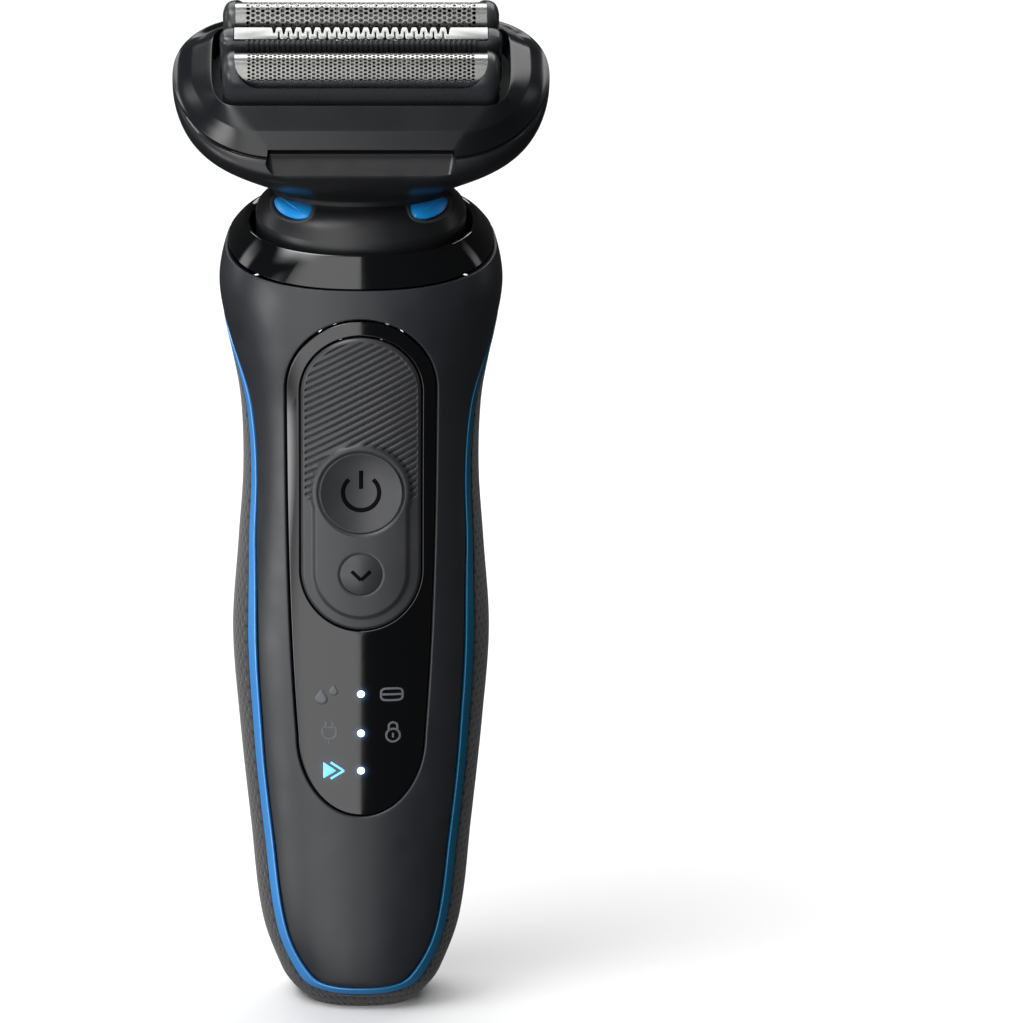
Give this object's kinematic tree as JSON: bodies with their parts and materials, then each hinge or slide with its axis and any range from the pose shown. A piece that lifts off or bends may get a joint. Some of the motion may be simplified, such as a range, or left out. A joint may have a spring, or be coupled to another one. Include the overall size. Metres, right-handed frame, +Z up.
{
  "type": "electric foil shaver",
  "caption": "Hand-held electric foil shaver with a forward-tilted head, floating foils, middle trimmer, push-button keypad, blue accent loop and dimpled rear grip.",
  "frame": {"origin": "centre of the whole shaver's footprint, on the flat of its base", "axes": "+Z up along the handle, -Y out of the front with the keypad, +X to the right hand of someone looking at the front from -Y"},
  "size_m": [0.0602, 0.0364, 0.1668],
  "materials": {
    "shell": "fine satin texture",
    "grip": "soft-touch with small dimples",
    "accent": "blue metallic lacquer",
    "gloss_black": "polished",
    "keypad": "satin",
    "head_plastic": "satin",
    "release": "polished",
    "foil": "bright",
    "steel": "bright",
    "brass": "machined",
    "inner": "moulded",
    "board": "lacquered",
    "cell": "sleeved",
    "seal": "matte",
    "clear": "clear"
  },
  "bodies": {
    "handle": {"front_shell": "shell", "rear_shell": "grip", "accent_strip": "accent", "collar_ring": "gloss_black", "neck_cap": "head_plastic", "neck_seal": "seal", "control_panel": "gloss_black", "keypad": "keypad", "circuit_board": "board", "controller_chip": "inner", "power_switch": "steel", "mode_switch": "steel", "battery_led_top": "clear", "battery_led_middle": "clear", "battery_led_bottom": "clear", "charge_led": "clear", "light_guide": "clear", "board_screw_upper": "steel", "board_screw_lower": "steel", "chassis": "inner", "battery_cell": "cell", "battery_tab_upper": "steel", "battery_tab_lower": "steel", "motor_can": "steel", "motor_endcap": "inner", "motor_mount": "seal", "charging_socket": "inner", "bridge_spring_left": "steel", "bridge_spring_right": "steel", "socket_pin_left": "brass", "socket_pin_right": "brass", "rear_contact_left": "steel", "rear_contact_right": "steel", "neck_screw_left": "steel", "neck_screw_right": "steel"},
    "power_key": {"power_button": "keypad"},
    "mode_key": {"mode_button": "keypad"},
    "release_left": {"release_button_left": "release"},
    "release_right": {"release_button_right": "release"},
    "motor_rotor": {"rotor": "brass", "eccentric": "brass"},
    "bridge": {"drive_bridge": "inner"},
    "head": {"head_housing": "head_plastic", "head_frame": "gloss_black", "blade_carrier": "inner"},
    "driver": {"cutter_driver": "inner", "front_spring": "steel", "trimmer_spring": "steel", "rear_spring": "steel"},
    "front_element": {"front_foil_frame": "head_plastic", "front_foil": "foil"},
    "front_blades": {"front_cutter": "steel"},
    "middle_element": {"trimmer_frame": "head_plastic", "trimmer_comb": "foil"},
    "middle_blades": {"trimmer_cutter": "steel"},
    "rear_element": {"rear_foil_frame": "head_plastic", "rear_foil": "foil"},
    "rear_blades": {"rear_cutter": "steel"}
  },
  "joints": [
    {"name": "power_button_press", "type": "slide", "parent": "handle", "child": "power_key", "axis": [0, 1, 0], "range_m": [0, 0.0005], "stiffness_N_per_m": 800, "springref_m": -0.001},
    {"name": "mode_button_press", "type": "slide", "parent": "handle", "child": "mode_key", "axis": [0, 1, 0], "range_m": [0, 0.0005], "stiffness_N_per_m": 800, "springref_m": -0.001},
    {"name": "release_left_press", "type": "slide", "parent": "handle", "child": "release_left", "axis": [0.7203, 0.5802, -0.3802], "range_m": [0, 0.001], "stiffness_N_per_m": 800, "springref_m": -0.001},
    {"name": "release_right_press", "type": "slide", "parent": "handle", "child": "release_right", "axis": [-0.7203, 0.5802, -0.3802], "range_m": [0, 0.001], "stiffness_N_per_m": 800, "springref_m": -0.001},
    {"name": "rotor_spin", "type": "hinge", "parent": "handle", "child": "motor_rotor", "pos_m": [0, 0.00244, 0.08], "axis": [0, 0, 1], "continuous": true},
    {"name": "bridge_swing", "type": "slide", "parent": "handle", "child": "bridge", "axis": [1, 0, 0], "range_m": [-0.0008, 0.0008], "stiffness_N_per_m": 300},
    {"name": "head_pull_off", "type": "slide", "parent": "handle", "child": "head", "axis": [0, -0.2419, 0.9703], "range_m": [0, 0.022]},
    {"name": "driver_slide", "type": "slide", "parent": "head", "child": "driver", "axis": [1, 0, 0], "range_m": [-0.0008, 0.0008]},
    {"name": "front_element_float", "type": "slide", "parent": "head", "child": "front_element", "axis": [0, -0.5446, 0.8387], "range_m": [-0.0015, 0], "stiffness_N_per_m": 700, "springref_m": 0.001, "deforming": ["front_spring"]},
    {"name": "front_blades_slide", "type": "slide", "parent": "front_element", "child": "front_blades", "axis": [1, 0, 0], "range_m": [-0.0008, 0.0008]},
    {"name": "middle_element_float", "type": "slide", "parent": "head", "child": "middle_element", "axis": [0, -0.5446, 0.8387], "range_m": [-0.0015, 0], "stiffness_N_per_m": 700, "springref_m": 0.001, "deforming": ["trimmer_spring"]},
    {"name": "middle_blades_slide", "type": "slide", "parent": "middle_element", "child": "middle_blades", "axis": [1, 0, 0], "range_m": [-0.0008, 0.0008]},
    {"name": "rear_element_float", "type": "slide", "parent": "head", "child": "rear_element", "axis": [0, -0.5446, 0.8387], "range_m": [-0.0015, 0], "stiffness_N_per_m": 700, "springref_m": 0.001, "deforming": ["rear_spring"]},
    {"name": "rear_blades_slide", "type": "slide", "parent": "rear_element", "child": "rear_blades", "axis": [1, 0, 0], "range_m": [-0.0008, 0.0008]}
  ],
  "couplings": [
    {"joint": "driver_slide", "follows": "bridge_swing", "ratio": 1},
    {"joint": "front_blades_slide", "follows": "bridge_swing", "ratio": 1},
    {"joint": "middle_blades_slide", "follows": "bridge_swing", "ratio": 1},
    {"joint": "rear_blades_slide", "follows": "bridge_swing", "ratio": 1}
  ]
}
